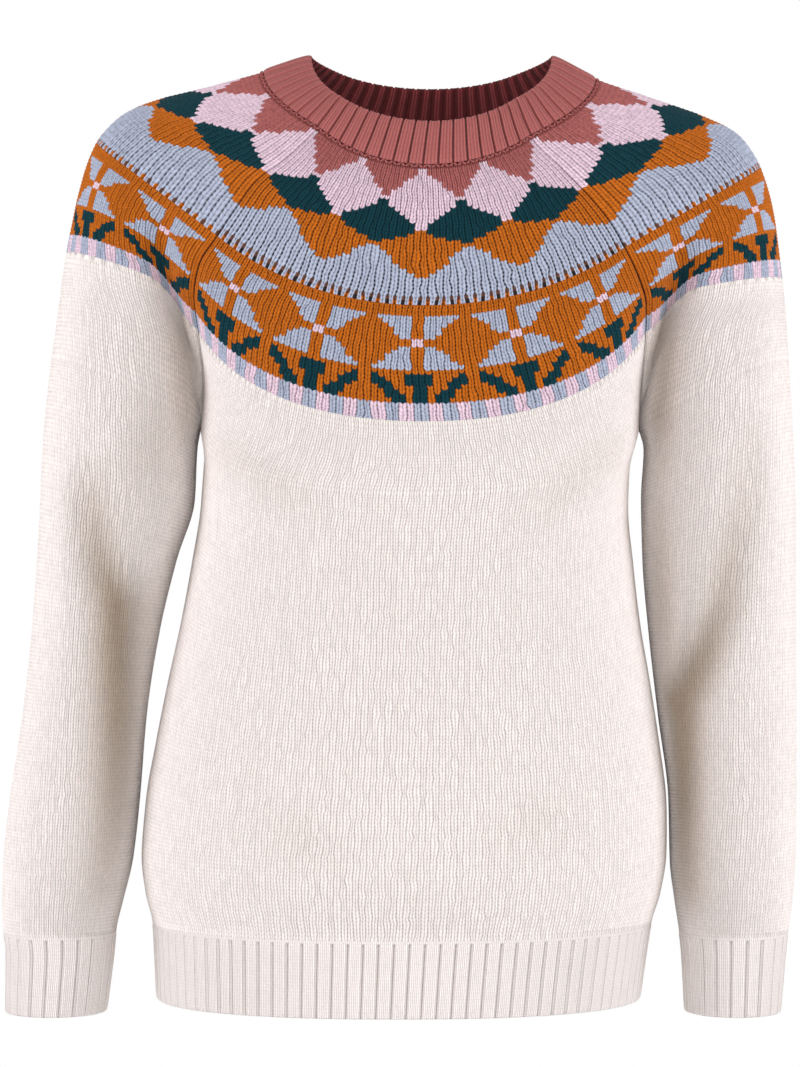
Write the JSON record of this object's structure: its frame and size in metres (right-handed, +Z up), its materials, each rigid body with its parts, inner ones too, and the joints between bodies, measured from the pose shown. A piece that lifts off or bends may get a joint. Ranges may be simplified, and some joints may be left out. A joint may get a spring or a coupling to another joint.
{
  "type": "wool pullover sweater",
  "caption": "Round-yoke knitted wool pullover with long sleeves, ribbed neckband, cuffs and hem, held in the hollow form that it has when worn.",
  "frame": {"origin": "between the two side-neck points, at the centre of the neck, where the shoulders of the wearer hold the garment up", "axes": "+Z up, front faces -Y, +X to the viewer's right"},
  "size_m": [0.5134, 0.2391, 0.6208],
  "materials": {
    "cream_wool": "matt knitted wool",
    "rose_wool": "matt ribbed wool"
  },
  "bodies": {
    "root": {"front": "cream_wool", "back": "cream_wool", "sleeve_left": "cream_wool", "sleeve_right": "cream_wool", "neckband": "rose_wool", "hem_rib_front": "cream_wool", "hem_rib_back": "cream_wool", "cuff_left": "cream_wool", "cuff_right": "cream_wool"}
  },
  "joints": []
}
